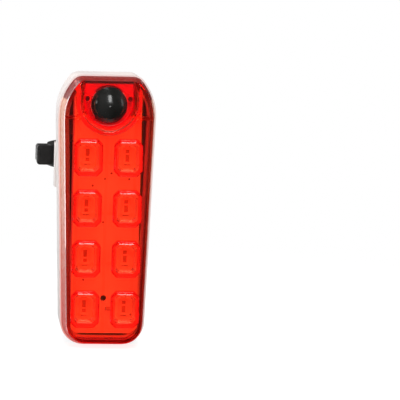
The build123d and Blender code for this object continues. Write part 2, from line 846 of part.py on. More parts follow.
# Clamp pads: rubber strips inside each half, with grooves along the post.
pad_outer = ring_inner - seat_gap
for name, middle in (("clamp_front_pad", 270), ("clamp_rear_pad", 90)):
    with BuildPart() as pad:
        with BuildSketch(level(-pad_height / 2)):
            with BuildLine():
                outer = CenterArc((0, 0), pad_outer, middle - pad_arc / 2, pad_arc)
                inner = CenterArc((0, 0), post_radius, middle - pad_arc / 2, pad_arc)
                Line(outer @ 0, inner @ 0)
                Line(outer @ 1, inner @ 1)
            make_face()
            groove_arc = pad_arc * (pad_groove_count - 1) / (pad_groove_count + 1)
            with PolarLocations(
                post_radius,
                pad_groove_count,
                start_angle=middle - groove_arc / 2,
                angular_range=groove_arc,
                endpoint=True,
            ):
                Rectangle(2 * pad_groove_depth, pad_groove_width, mode=Mode.SUBTRACT)
        extrude(amount=pad_height)
    pad.part.label = name
    export_step(pad.part, f"parts/{name}.step")

# Clamp screw, washer and square nut. The screw's threads aren't cut: its shank is at their core
# diameter, and the nut's bore is at their outer diameter.
washer_back = clamp_gap / 2 + ear_thickness + seat_gap + washer_thickness
head_back = washer_back + screw_head_height
with BuildPart() as clamp_screw:
    with BuildSketch(square_on(screw_x, washer_back, 0)):
        Circle(screw_core_radius)
    extrude(amount=screw_length)
    with BuildSketch(square_on(screw_x, head_back, 0)):
        Circle(screw_head_radius)
    extrude(amount=screw_head_height)
    fillet(
        clamp_screw.faces().sort_by(Axis.Y)[-1].edges(),
        radius=screw_head_rounding,
    )
    with BuildSketch(square_on(screw_x, head_back, 0)):
        Rectangle(screw_slot_length, screw_slot_width)
        Rectangle(screw_slot_width, screw_slot_length)
    extrude(amount=screw_slot_depth, mode=Mode.SUBTRACT)
clamp_screw.part.label = "clamp_screw"
export_step(clamp_screw.part, "parts/clamp_screw.step")

with BuildPart() as clamp_washer:
    with BuildSketch(square_on(screw_x, washer_back, 0)):
        Circle(washer_radius)
        Circle(screw_hole_radius, mode=Mode.SUBTRACT)
    extrude(amount=washer_thickness)
clamp_washer.part.label = "clamp_washer"
export_step(clamp_washer.part, "parts/clamp_washer.step")

with BuildPart() as clamp_nut:
    with BuildSketch(square_on(screw_x, -clamp_gap / 2 - nut_play, 0)):
        Rectangle(nut_side, nut_side)
        Circle(screw_thread_radius, mode=Mode.SUBTRACT)
    extrude(amount=nut_thickness)
clamp_nut.part.label = "clamp_nut"
export_step(clamp_nut.part, "parts/clamp_nut.step")
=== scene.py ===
from math import cos, pi, radians, sin

import bpy
import numpy as np
from mathutils import Matrix, Vector


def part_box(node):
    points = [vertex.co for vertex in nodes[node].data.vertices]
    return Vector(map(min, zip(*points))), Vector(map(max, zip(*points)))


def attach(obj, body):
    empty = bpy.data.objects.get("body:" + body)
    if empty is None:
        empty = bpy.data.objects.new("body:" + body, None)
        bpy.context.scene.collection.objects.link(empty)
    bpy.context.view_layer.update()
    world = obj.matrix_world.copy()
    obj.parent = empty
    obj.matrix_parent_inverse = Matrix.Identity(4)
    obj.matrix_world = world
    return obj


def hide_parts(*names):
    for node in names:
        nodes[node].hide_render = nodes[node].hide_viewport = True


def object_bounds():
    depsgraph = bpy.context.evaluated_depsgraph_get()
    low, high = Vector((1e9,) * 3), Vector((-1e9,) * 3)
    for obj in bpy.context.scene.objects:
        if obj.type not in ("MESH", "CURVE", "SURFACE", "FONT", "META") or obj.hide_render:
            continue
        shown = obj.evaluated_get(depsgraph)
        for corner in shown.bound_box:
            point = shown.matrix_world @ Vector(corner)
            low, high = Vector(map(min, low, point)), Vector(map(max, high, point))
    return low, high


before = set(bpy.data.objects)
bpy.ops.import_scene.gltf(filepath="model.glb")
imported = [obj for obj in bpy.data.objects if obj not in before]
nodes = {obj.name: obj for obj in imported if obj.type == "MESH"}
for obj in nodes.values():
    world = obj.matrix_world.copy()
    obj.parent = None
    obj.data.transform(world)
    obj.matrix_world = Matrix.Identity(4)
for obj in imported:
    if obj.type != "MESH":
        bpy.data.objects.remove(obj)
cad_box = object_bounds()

mm = 0.001

# Camera. It stands a metre from the lamp, a little to the left and above, with a slight lean, and it
# looks past the lamp's right side, which puts the lamp left of the picture's middle.
board_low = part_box("led_board")[0]
lens_low, lens_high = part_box("lens")
sight = Vector((0, board_low.y, (lens_low.z + lens_high.z) / 2))
camera_azimuth = radians(-4.7)
camera_elevation = radians(7.13)
camera_distance = 1.0
camera_lean = radians(1.65)
aim_beside_sight = Vector((0.0314, -0.0031, 0.0045))
towards_camera = Vector((
    sin(camera_azimuth) * cos(camera_elevation),
    -cos(camera_azimuth) * cos(camera_elevation),
    sin(camera_elevation),
))
camera_place = sight + camera_distance * towards_camera
camera_data = bpy.data.cameras.new("camera")
camera_data.sensor_width = 36
camera_data.lens = 268.9
camera = bpy.data.objects.new("camera", camera_data)
bpy.context.scene.collection.objects.link(camera)
look = (sight + aim_beside_sight - camera_place).to_track_quat("-Z", "Y").to_matrix().to_4x4()
camera.matrix_world = Matrix.Translation(camera_place) @ look @ Matrix.Rotation(camera_lean, 4, "Z")
bpy.context.scene.camera = camera
bpy.context.scene.view_settings.view_transform = "Standard"


# Studio surround and floor. Both are white to the camera, to gloss and through glass, and the world
# lights the lamp at a lower level. The floor takes the lamp's soft shadow, and it fades into the
# surround a little way from the lamp.
def node_of(tree, kind, **settings):
    """A shader node of a kind: settings named after its inputs, with _ for a space, are put on those
    sockets, either as values or as links from another node's output, and other settings on the node."""
    made = tree.nodes.new(kind)
    for name, value in settings.items():
        socket = made.inputs.get(name.replace("_", " "))
        if socket is None:
            setattr(made, name, value)
        elif isinstance(value, bpy.types.NodeSocket):
            tree.links.new(value, socket)
        else:
            socket.default_value = value
    return made


def worked(tree, operation, *terms):
    """The result of one sum, product or other operation on values or other nodes' outputs."""
    made = node_of(tree, "ShaderNodeMath", operation=operation)
    for socket, term in zip(made.inputs, terms):
        if isinstance(term, bpy.types.NodeSocket):
            tree.links.new(term, socket)
        else:
            socket.default_value = term
    return made.outputs[0]


def ramped(tree, value, start, end, low=0.0, high=1.0):
    """A value turned into low before start and high after end, with a smooth rise between."""
    made = node_of(tree, "ShaderNodeMapRange", interpolation_type="SMOOTHSTEP", Value=value)
    for name, number in (("From Min", start), ("From Max", end), ("To Min", low), ("To Max", high)):
        made.inputs[name].default_value = number
    return made.outputs[0]


def background_rays(tree):
    """One for rays that show the background: those of the camera, and those off gloss or through glass."""
    rays = node_of(tree, "ShaderNodeLightPath").outputs
    seen = worked(tree, "MAXIMUM", rays["Is Camera Ray"], rays["Is Glossy Ray"])
    return worked(tree, "MAXIMUM", seen, rays["Is Transmission Ray"])


world_level = 0.4
world = bpy.data.worlds.new("white_surround")
bpy.context.scene.world = world
world.use_nodes = True
tree = world.node_tree
tree.nodes.clear()
level = node_of(tree, "ShaderNodeMapRange", Value=background_rays(tree), To_Min=world_level)
surround = node_of(tree, "ShaderNodeBackground", Color=(1, 1, 1, 1), Strength=level.outputs[0])
node_of(tree, "ShaderNodeOutputWorld", Surface=surround.outputs[0])

floor_half = 0.24
floor_gap = 0.2 * mm
floor_z = cad_box[0].z - floor_gap
floor_base = 0.32
floor_lift = 0.82
fade_start = 0.1
fade_end = 0.22
floor_mesh = bpy.data.meshes.new("floor")
floor_mesh.from_pydata(
    [
        (-floor_half, -floor_half, floor_z),
        (floor_half, -floor_half, floor_z),
        (floor_half, floor_half, floor_z),
        (-floor_half, floor_half, floor_z),
    ],
    [],
    [(0, 1, 2, 3)],
)
floor = bpy.data.objects.new("floor", floor_mesh)
bpy.context.scene.collection.objects.link(floor)
floor.visible_glossy = False
floor_paint = bpy.data.materials.new("floor_white")
floor_paint.use_nodes = True
tree = floor_paint.node_tree
shader = tree.nodes["Principled BSDF"]
shader.inputs["Base Color"].default_value = (floor_base, floor_base, floor_base, 1)
shader.inputs["Roughness"].default_value = 0.95
shader.inputs["Specular IOR Level"].default_value = 0
shader.inputs["Emission Color"].default_value = (1, 1, 1, 1)
lifted = worked(tree, "MULTIPLY", background_rays(tree), floor_lift)
tree.links.new(lifted, shader.inputs["Emission Strength"])
place = node_of(tree, "ShaderNodeTexCoord").outputs["Object"]
spread = node_of(tree, "ShaderNodeVectorMath", operation="LENGTH")
tree.links.new(place, spread.inputs[0])
faded = ramped(tree, spread.outputs["Value"], fade_start, fade_end, 1.0, 0.0)
tree.links.new(faded, shader.inputs["Alpha"])
floor_mesh.materials.append(floor_paint)


# Studio lights and flag. A tall strip softbox hangs above the camera, another stands at the left, a broad
# one lights from above, and weak ones fill in. A dark flag, which only gloss sees, is part of a sphere
# round the lamp.
def softbox(name, azimuth, elevation, distance, width, height, radiance):
    """An area lamp aimed at the lamp body, placed by its direction seen from it. Azimuth 0 is the
    front, and its power is its radiance times pi times its area."""
    light = bpy.data.lights.new(name, "AREA")
    light.shape = "RECTANGLE"
    light.size = width
    light.size_y = height
    light.energy = radiance * pi * width * height
    box = bpy.data.objects.new(name, light)
    bpy.context.scene.collection.objects.link(box)
    a, e = radians(azimuth), radians(elevation)
    away = Vector((sin(a) * cos(e), -cos(a) * cos(e), sin(e)))
    box.matrix_world = (
        Matrix.Translation(sight + distance * away) @ away.to_track_quat("Z", "Y").to_matrix().to_4x4()
    )
    return box


softbox(
    "key_softbox", azimuth=4, elevation=38, distance=0.7, width=0.2, height=0.5, radiance=9,
)
left_softbox = softbox(
    "left_softbox", azimuth=-80, elevation=10, distance=0.5, width=0.14, height=0.4, radiance=5.5,
)
left_softbox.visible_glossy = False
softbox(
    "right_softbox", azimuth=80, elevation=12, distance=0.6, width=0.12, height=0.3, radiance=1.5,
)
softbox(
    "left_card", azimuth=-78, elevation=14, distance=0.5, width=0.08, height=0.1, radiance=3,
)
softbox(
    "left_back_softbox", azimuth=-152, elevation=0, distance=0.45, width=0.16, height=0.16, radiance=1.8,
)
top_softbox = softbox(
    "top_softbox", azimuth=0, elevation=85, distance=0.9, width=0.6, height=0.6, radiance=5.2,
)
top_softbox.visible_glossy = False

flag_radius = 1.6
flag_azimuths = np.radians(np.linspace(-140, 190, 67))
flag_elevations = np.radians(np.linspace(-89, 89, 37))
around, up = np.meshgrid(flag_azimuths, flag_elevations, indexing="ij")
flag_corners = np.array(sight) + flag_radius * np.stack(
    [np.sin(around) * np.cos(up), -np.cos(around) * np.cos(up), np.sin(up)], -1
)
columns = len(flag_elevations)
first = (np.arange(len(flag_azimuths) - 1)[:, None] * columns + np.arange(columns - 1)).ravel()
flag_faces = np.stack([first, first + 1, first + columns + 1, first + columns], -1)
flag_mesh = bpy.data.meshes.new("dark_flag")
flag_mesh.from_pydata(flag_corners.reshape(-1, 3).tolist(), [], flag_faces.tolist())
flag = bpy.data.objects.new("dark_flag", flag_mesh)
bpy.context.scene.collection.objects.link(flag)
flag.visible_camera = False
flag.visible_diffuse = False
flag.visible_shadow = False
flag.visible_transmission = False
flag_paint = bpy.data.materials.new("flag_black")
flag_paint.use_nodes = True
flag_paint.node_tree.nodes["Principled BSDF"].inputs["Base Color"].default_value = (0.03, 0.03, 0.03, 1)
flag_mesh.materials.append(flag_paint)


# Lens. One piece of clear red acrylic, moulded as a cup. Its front, its tablets and its button recess
# come polished from the mould, and its side walls are frosted. It pushes on to the rear shell.
def new_finish(name):
    """A material with its node tree, its Principled shader and the object coordinates that it reads."""
    paint = bpy.data.materials.new(name)
    paint.use_nodes = True
    tree = paint.node_tree
    place = node_of(tree, "ShaderNodeTexCoord").outputs["Object"]
    return tree, tree.nodes["Principled BSDF"], place


def shared(name, takes, gives):
    """A shader node group with named inputs and outputs, returned with its two inner ends."""
    group = bpy.data.node_groups.new(name, "ShaderNodeTree")
    for label, kind in takes.items():
        group.interface.new_socket(label, in_out="INPUT", socket_type="NodeSocket" + kind)
    for label, kind in gives.items():
        group.interface.new_socket(label, in_out="OUTPUT", socket_type="NodeSocket" + kind)
    return group, group.nodes.new("NodeGroupInput").outputs, group.nodes.new("NodeGroupOutput").inputs


def blended(tree, share, first, second):
    """A colour between two, by a share from 0 to 1."""
    made = node_of(tree, "ShaderNodeMix", data_type="RGBA")
    tree.links.new(share, made.inputs[0])
    for socket, colour in zip((made.inputs[6], made.inputs[7]), (first, second)):
        if isinstance(colour, bpy.types.NodeSocket):
            tree.links.new(colour, socket)
        else:
            socket.default_value = colour
    return made.outputs[2]


def dress(tree, *names):
    """Puts the material that owns this node tree on the named nodes of the fixed frame."""
    paint = next(m for m in bpy.data.materials if m.node_tree == tree)
    for name in names:
        mesh = nodes[name].data
        if not mesh.materials:
            mesh.materials.append(paint)
        for slot in nodes[name].material_slots:
            slot.material = paint


# Moulded surface: fine grain as a height, broad patches where the plastic flowed, and thin scuffs.
moulded, given, put = shared(
    "moulded_surface",
    {"Place": "Vector", "Grain": "Float", "Patches": "Float"},
    {"Height": "Float", "Patch": "Float", "Scuff": "Float"},
)
grain = node_of(moulded, "ShaderNodeTexNoise", Vector=given["Place"], Scale=given["Grain"], Detail=3.0)
moulded.links.new(grain.outputs[0], put["Height"])
patch = node_of(moulded, "ShaderNodeTexNoise", Vector=given["Place"], Scale=given["Patches"], Detail=2.0)
moulded.links.new(ramped(moulded, patch.outputs[0], 0.35, 0.65), put["Patch"])
turned_place = node_of(moulded, "ShaderNodeMapping", Vector=given["Place"])
turned_place.inputs["Rotation"].default_value = (0.5, 0.9, 0.3)
turned_place.inputs["Scale"].default_value = (1, 1, 0.04)
scuff = node_of(moulded, "ShaderNodeTexNoise", Vector=turned_place.outputs[0], Scale=3000.0, Detail=1.0)
moulded.links.new(ramped(moulded, scuff.outputs[0], 0.68, 0.74), put["Scuff"])


def mould(tree, shader, place, pale, deep, smooth, rough, grain, depth, patches):
    """Gives a shader a moulded surface: its colour drifts between two, its roughness between two, the
    scuffs are roughest, and the grain stands as high as the depth. Grain and patches are counts to the
    metre."""
    made = node_of(tree, "ShaderNodeGroup", node_tree=moulded, Place=place, Grain=grain, Patches=patches)
    drift, scuffs = made.outputs["Patch"], made.outputs["Scuff"]
    tree.links.new(blended(tree, drift, pale, deep), shader.inputs["Base Color"])
    worn = worked(tree, "MULTIPLY_ADD", scuffs, 0.15, ramped(tree, drift, 0, 1, smooth, rough))
    tree.links.new(worn, shader.inputs["Roughness"])
    bump = node_of(tree, "ShaderNodeBump", Strength=1.0, Distance=depth, Height=made.outputs["Height"])
    tree.links.new(bump.outputs[0], shader.inputs["Normal"])


tablet_rise = 1.4 * mm
front_wall = 1.5 * mm
lens_depth = 9.5 * mm
lens_draw_in = 1.2 * mm
shoulder_half_width = 15.9 * mm
foot_half_width = 13.5 * mm
shoulder_to_foot = 76 * mm
lens_front = lens_low.y + tablet_rise
joint = lens_front + lens_depth
block_gap = 1.4 * mm
block_end = board_low.y - block_gap
block_satin = 0.25
frost_side = 11.2 * mm
frost_foot = 3.4 * mm
frost_top = 1.4 * mm
frost_edge = 0.3 * mm
frost_start = lens_front + front_wall + 0.2 * mm
frost_deepening = 0.5 * mm
tree, shader, place = new_finish("red_lens")
mould(
    tree, shader, place, (0.97, 0.2, 0.088, 1), (0.96, 0.185, 0.08, 1),
    smooth=0.02, rough=0.05, grain=900, depth=0.004 * mm, patches=60,
)
shader.inputs["Transmission Weight"].default_value = 1
shader.inputs["IOR"].default_value = 1.49
frosted = node_of(tree, "ShaderNodeBsdfPrincipled")
mould(
    tree, frosted, place, (0.96, 0.56, 0.38, 1), (0.9, 0.42, 0.27, 1),
    smooth=0.35, rough=0.5, grain=2500, depth=0.03 * mm, patches=900,
)
frosted.inputs["Transmission Weight"].default_value = 0.4
frosted.inputs["Specular IOR Level"].default_value = 0.05
frosted.inputs["IOR"].default_value = 1.49
axes = node_of(tree, "ShaderNodeSeparateXYZ", Vector=place).outputs
across = worked(tree, "ABSOLUTE", axes["X"])
above_foot = worked(tree, "SUBTRACT", axes["Z"], lens_low.z)
below_top = worked(tree, "SUBTRACT", lens_high.z, axes["Z"])
deep_enough = ramped(tree, axes["Y"], frost_start, frost_start + frost_deepening)
at_side = ramped(tree, across, frost_side, frost_side + frost_edge)
at_foot = ramped(tree, above_foot, frost_foot - frost_edge, frost_foot, 1.0, 0.0)
at_top = ramped(tree, below_top, frost_top - frost_edge, frost_top, 1.0, 0.0)
at_ends = worked(tree, "MAXIMUM", at_foot, at_top)
frost = worked(tree, "MULTIPLY", deep_enough, worked(tree, "MAXIMUM", at_side, at_ends))

# The frosting on the outside of the walls is pale near the shoulder and redder towards the foot. This is
# painted light from above that fades to painted shade at the foot. Inside, the walls are dark red, which
# is painted shade of the deep gap beside the board. The walls lean in towards the foot and towards the
# front.
wall_inside = 1.35 * mm
wall_edge = 0.25 * mm
foot_wall_edge = 0.2 * mm
shade_full_below = 6 * mm
light_full_above = 68 * mm
taper = (shoulder_half_width - foot_half_width) / shoulder_to_foot
half_width = worked(tree, "MULTIPLY_ADD", above_foot, taper, foot_half_width)
inset = worked(tree, "SUBTRACT", half_width, across)
before_joint = worked(tree, "SUBTRACT", joint, axes["Y"])
leant = worked(tree, "MULTIPLY_ADD", before_joint, -lens_draw_in / lens_depth, inset)
outside = ramped(tree, leant, wall_inside - wall_edge, wall_inside, 1.0, 0.0)
foot_outside = ramped(tree, above_foot, frost_foot - foot_wall_edge, frost_foot, 1.0, 0.0)
# Painted light on the outer frost: pale near the shoulder, turning to painted shade towards the foot.
shade_towards_foot = ramped(tree, above_foot, shade_full_below, light_full_above, 1.0, 0.0)
pale_frost = frosted.inputs["Base Color"].links[0].from_socket
outer_frost_painted_light = blended(tree, shade_towards_foot, pale_frost, (0.8, 0.1, 0.075, 1))
outer_share = worked(tree, "MAXIMUM", outside, foot_outside)
# Painted shade: the inside of the walls is dark red.
tree.links.new(
    blended(tree, outer_share, (0.28, 0.02, 0.015, 1), outer_frost_painted_light), frosted.inputs["Base Color"]
)

# The clear front is deeper red on the sides of the tablets and light blocks, where the light passes more
# plastic. Over the walls it is painted shade, a darker and duller red for the gap and the shell's rim
# behind.
beside_board = 11.25 * mm
beside_board_edge = 0.35 * mm
rim_width = 1.7 * mm
rim_width_edge = 0.4 * mm
foot_zone_start = 1.5 * mm
foot_zone_end = 3.3 * mm
top_zone = 2.0 * mm
zone_edge = 0.3 * mm
side_wall_painted_shade = worked(
    tree, "MULTIPLY",
    ramped(tree, across, beside_board, beside_board + beside_board_edge),
    ramped(tree, inset, rim_width, rim_width + rim_width_edge),
)
foot_wall_painted_shade = worked(
    tree, "MULTIPLY",
    ramped(tree, above_foot, foot_zone_start, foot_zone_start + zone_edge),
    ramped(tree, above_foot, foot_zone_end, foot_zone_end + zone_edge, 1.0, 0.0),
)
top_wall_painted_shade = ramped(tree, below_top, top_zone - zone_edge, top_zone, 1.0, 0.0)
wall_painted_shade = worked(
    tree, "MAXIMUM", side_wall_painted_shade, worked(tree, "MAXIMUM", foot_wall_painted_shade, top_wall_painted_shade)
)
tablet_face = lens_low.y + 0.05 * mm
tablet_face_edge = 0.25 * mm
front_edge = 0.1 * mm
block_face = block_end - 0.05 * mm
block_face_edge = 0.05 * mm
tablet_side = worked(
    tree, "MULTIPLY",
    ramped(tree, axes["Y"], tablet_face, tablet_face + tablet_face_edge),
    ramped(tree, axes["Y"], lens_front - front_edge, lens_front, 1.0, 0.0),
)
before_block_end = ramped(tree, axes["Y"], block_face - block_face_edge, block_face, 1.0, 0.0)
block_side = worked(tree, "MULTIPLY", deep_enough, before_block_end)
tablet_offset = 6.65 * mm
tablet_first_row = lens_low.z + 64 * mm
tablet_pitch = 16.95 * mm
tablet_half = (4.85 * mm, 6.1 * mm)
tablet_corner = 1.8 * mm
tablet_edge = 0.3 * mm
block_half = (3.6 * mm, 4.7 * mm)
block_corner = 1.0 * mm
block_edge = 0.2 * mm
from_column = worked(tree, "ABSOLUTE", worked(tree, "SUBTRACT", across, tablet_offset))
row_count = worked(tree, "DIVIDE", worked(tree, "SUBTRACT", axes["Z"], tablet_first_row), tablet_pitch)
from_row = worked(tree, "MULTIPLY", worked(tree, "PINGPONG", row_count, 0.5), tablet_pitch)


def within(half_sizes, corner, soft):
    """One inside a cut-cornered rectangle of these half sizes round every tablet's middle, falling to 0
    outside. The corner is what is cut off both sides."""
    width, height = half_sizes
    slant = width + height - corner
    rectangle = worked(
        tree, "MULTIPLY",
        ramped(tree, from_column, width - soft, width, 1.0, 0.0),
        ramped(tree, from_row, height - soft, height, 1.0, 0.0),
    )
    aslant = worked(tree, "ADD", from_column, from_row)
    return worked(tree, "MULTIPLY", rectangle, ramped(tree, aslant, slant - soft, slant, 1.0, 0.0))


tablet_area = within(tablet_half, tablet_corner, tablet_edge)
block_area = within(block_half, block_corner, block_edge)
rim = worked(tree, "MULTIPLY", tablet_area, worked(tree, "SUBTRACT", 1.0, block_area))

# The first row is the top one. Half a pitch above it the button's floor begins, which has no tablets.
below_button = ramped(tree, row_count, 0.45, 0.5, 1.0, 0.0)
tablet_rim = worked(tree, "MULTIPLY", rim, below_button)
clear_colour = shader.inputs["Base Color"].links[0].from_socket
clear_colour = blended(tree, tablet_rim, clear_colour, (0.94, 0.07, 0.05, 1))
steep = worked(tree, "MAXIMUM", tablet_side, block_side)
clear_colour = blended(tree, steep, clear_colour, (0.88, 0.006, 0.02, 1))
# Painted shade over the walls and the gap beside the board: a darker, duller red.
clear_colour = blended(tree, wall_painted_shade, clear_colour, (0.58, 0.09, 0.075, 1))
tree.links.new(clear_colour, shader.inputs["Base Color"])
satin = worked(tree, "MULTIPLY", block_side, block_satin)
polish = shader.inputs["Roughness"].links[0].from_socket
tree.links.new(worked(tree, "ADD", polish, satin), shader.inputs["Roughness"])
glass = node_of(tree, "ShaderNodeMixShader")
for socket, source in zip(glass.inputs, (frost, shader.outputs[0], frosted.outputs[0])):
    tree.links.new(source, socket)

# For shadow rays the lens is a plain red filter, so the softboxes light the board behind it.
lamps_through = node_of(tree, "ShaderNodeBsdfTransparent", Color=(0.985, 0.45, 0.36, 1))
shadow_ray = node_of(tree, "ShaderNodeLightPath").outputs["Is Shadow Ray"]
whole = node_of(tree, "ShaderNodeMixShader")
for socket, source in zip(whole.inputs, (shadow_ray, glass.outputs[0], lamps_through.outputs[0])):
    tree.links.new(source, socket)
tree.links.new(whole.outputs[0], tree.nodes["Material Output"].inputs["Surface"])
dress(tree, "lens")

# Button. A dome of black silicone rubber, moulded glossy. It fills its hole in the lens and pushes on the
# plunger of the switch behind it.
tree, shader, place = new_finish("black_button")
mould(
    tree, shader, place, (0.01, 0.01, 0.009, 1), (0.018, 0.018, 0.017, 1),
    smooth=0.12, rough=0.2, grain=1500, depth=0.005 * mm, patches=150,
)
dress(tree, "button_dome")

# Rear shell. White ABS, moulded with a satin grain. Its white is tinted pink as painted light from the red
# lens.
# It holds the cells and carries the dock, where some dust has settled.
tree, shader, place = new_finish("white_shell")
# The pink tint in these colours is painted light from the red lens.
mould(
    tree, shader, place, (0.86, 0.79, 0.765, 1), (0.81, 0.73, 0.7, 1),
    smooth=0.32, rough=0.45, grain=5000, depth=0.02 * mm, patches=90,
)
axes = node_of(tree, "ShaderNodeSeparateXYZ", Vector=place).outputs
dust_depth = 5.5 * mm
dust_fade = 2 * mm
dust_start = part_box("rear_shell")[1].y - dust_depth
dust_speck = node_of(tree, "ShaderNodeTexNoise", Vector=place, Scale=1800.0, Detail=4.0)
dusty = worked(
    tree, "MULTIPLY",
    ramped(tree, axes["Y"], dust_start, dust_start + dust_fade),
    ramped(tree, dust_speck.outputs[0], 0.45, 0.7, 0.0, 0.3),
)
clean_colour = shader.inputs["Base Color"].links[0].from_socket
tree.links.new(blended(tree, dusty, clean_colour, (0.5, 0.47, 0.41, 1)), shader.inputs["Base Color"])
dress(tree, "rear_shell")

# Seal. A ring of black rubber, moulded mat. It lies in the shell's groove under the lens's tongue, and
# keeps the rain away from the cells.
tree, shader, place = new_finish("seal_rubber")
mould(
    tree, shader, place, (0.025, 0.025, 0.025, 1), (0.05, 0.048, 0.045, 1),
    smooth=0.55, rough=0.75, grain=8000, depth=0.03 * mm, patches=400,
)
dress(tree, "lens_seal")

# Board. Glass fibre under white solder mask, screwed to the lens. Copper tracks show as low ridges under
# the mask: one runs down each side and one down the middle, and others cross at the pitch of the LEDs.
track_height = 0.03 * mm
side_track = 9.6 * mm
track_half_width = 0.5 * mm
track_edge = 0.05 * mm
led_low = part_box("led_left_1")[0]
row_pitch = led_low.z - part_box("led_left_2")[0].z
tree, shader, place = new_finish("white_board")
mould(
    tree, shader, place, (0.93, 0.93, 0.91, 1), (0.9, 0.9, 0.87, 1),
    smooth=0.35, rough=0.5, grain=9000, depth=0.01 * mm, patches=150,
)
axes = node_of(tree, "ShaderNodeSeparateXYZ", Vector=place).outputs
across = worked(tree, "ABSOLUTE", axes["X"])
from_side = worked(tree, "ABSOLUTE", worked(tree, "SUBTRACT", across, side_track))
row_place = worked(tree, "DIVIDE", worked(tree, "SUBTRACT", axes["Z"], led_low.z), row_pitch)
from_crossing = worked(tree, "MULTIPLY", worked(tree, "PINGPONG", row_place, 0.5), row_pitch)
from_track = worked(tree, "MINIMUM", worked(tree, "MINIMUM", from_side, across), from_crossing)
ridge = ramped(tree, from_track, track_half_width, track_half_width + track_edge, 1.0, 0.0)
tracks = node_of(tree, "ShaderNodeBump", Strength=1.0, Distance=track_height, Height=ridge)
tree.links.new(shader.inputs["Normal"].links[0].from_socket, tracks.inputs["Normal"])
tree.links.new(tracks.outputs[0], shader.inputs["Normal"])
covered = blended(tree, ridge, shader.inputs["Base Color"].links[0].from_socket, (0.86, 0.83, 0.78, 1))
tree.links.new(covered, shader.inputs["Base Color"])
dress(tree, "led_board")


# Vias. Rings of dull copper round small drilled holes, which join the board's two sides. They stand on
# its front between the LEDs, each given by its x and its drop below the lens's top, in millimetres.
def round_shell(rings, start):
    """Faces of a closed surface made of rings of points, counted from a start: quads between
    neighbouring rings, which run the way the surface's own axis does, and a flat cap on the first and
    the last ring."""
    count, sides = rings.shape[:2]
    ring, side = np.meshgrid(np.arange(count - 1), np.arange(sides), indexing="ij")
    ahead = (side + 1) % sides
    near, far = start + ring * sides, start + (ring + 1) * sides
    quads = np.stack([near + side, near + ahead, far + ahead, far + side], -1).reshape(-1, 4)
    last = start + (count - 1) * sides
    return quads.tolist() + [list(range(start, start + sides))[::-1], list(range(last, last + sides))]


def add_piece(name, shells, tree, body):
    """A mesh of one or more closed ringed surfaces, with the finish of a node tree, riding a CAD body."""
    corners, faces, done = [], [], 0
    for rings in shells:
        corners.append(rings.reshape(-1, 3))
        faces += round_shell(rings, done)
        done += rings.shape[0] * rings.shape[1]
    mesh = bpy.data.meshes.new(name)
    mesh.from_pydata(np.concatenate(corners).tolist(), [], faces)
    mesh.shade_smooth()
    mesh.set_sharp_from_angle(angle=radians(40))
    mesh.materials.append(next(m for m in bpy.data.materials if m.node_tree == tree))
    piece = bpy.data.objects.new(name, mesh)
    bpy.context.scene.collection.objects.link(piece)
    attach(piece, body)
    return piece


def turned_forward(profile, x, y, z, sides=16):
    """Rings of a body turned about an axis that points to the front: each ring has a radius and a
    distance in front of the point (x, y, z)."""
    radius, out = np.array(profile).T
    angle = np.linspace(0, 2 * pi, sides, endpoint=False)
    return np.stack(
        [
            x + radius[:, None] * np.cos(angle),
            y - out[:, None] + 0 * angle,
            z + radius[:, None] * np.sin(angle),
        ],
        -1,
    )


via_profile = [
    (0.33 * mm, -0.05 * mm), (0.33 * mm, 0.02 * mm), (0.3 * mm, 0.04 * mm), (0.2 * mm, 0.04 * mm),
    (0.17 * mm, 0.02 * mm), (0.16 * mm, 0.01 * mm),
]
via_spots = [
    (1.7, 32.3), (-0.4, 34.2), (-4.5, 36.5), (6.6, 32.5), (7.7, 34.2), (-6.9, 48.8), (-0.7, 48.8),
    (-9.4, 63.6), (-6.9, 68.3), (9.1, 79.6),
]
tree, shader, place = new_finish("dull_copper")
mould(
    tree, shader, place, (0.3, 0.14, 0.08, 1), (0.2, 0.1, 0.06, 1),
    smooth=0.35, rough=0.5, grain=9000, depth=0.005 * mm, patches=2500,
)
shader.inputs["Metallic"].default_value = 1
add_piece(
    "board_vias",
    [turned_forward(via_profile, x * mm, board_low.y, lens_high.z - drop * mm) for x, drop in via_spots],
    tree,
    "cover",
)

# LEDs. Each is a white moulded package with a window over the two copper pads of its lead frame, and a
# small ramp of solder at each end holds it to the board.
tree, shader, place = new_finish("led_body")
mould(
    tree, shader, place, (0.9, 0.89, 0.85, 1), (0.85, 0.83, 0.76, 1),
    smooth=0.3, rough=0.45, grain=9000, depth=0.01 * mm, patches=700,
)
led_names = [name for name in nodes if name.startswith(("led_left_", "led_right_"))]
dress(tree, *led_names)

tree, shader, place = new_finish("led_metal")
mould(
    tree, shader, place, (0.52, 0.26, 0.13, 1), (0.42, 0.2, 0.1, 1),
    smooth=0.35, rough=0.5, grain=9000, depth=0.01 * mm, patches=900,
)
dress(tree, "led_pads")

solder_length = 0.45 * mm
solder_height = 0.5 * mm
solder_half_width = 1.05 * mm
solder_film = 0.02 * mm
solder_narrowing = 0.15
solder_bite = 0.01 * mm


def solder_ramp(x, z, hand):
    """Rings of a ramp of solder against an LED's end, with hand 1 for its upper end: half an ellipse in
    section, whose height falls off with the square of the distance from the LED."""
    away = np.linspace(1, 0, 8) if hand > 0 else np.linspace(0, 1, 8)
    angle = np.linspace(0, 2 * pi, 16, endpoint=False)
    height = (solder_height * (1 - away) ** 2 + solder_film)[:, None]
    half_width = (solder_half_width * (1 - solder_narrowing * away))[:, None]
    rise = np.sin(angle) * np.where(np.sin(angle) > 0, height, solder_film)
    along = z + hand * (solder_length * away - solder_bite)
    across = x + half_width * np.cos(angle)
    return np.stack([across, board_low.y - rise, np.broadcast_to(along[:, None], rise.shape)], -1)


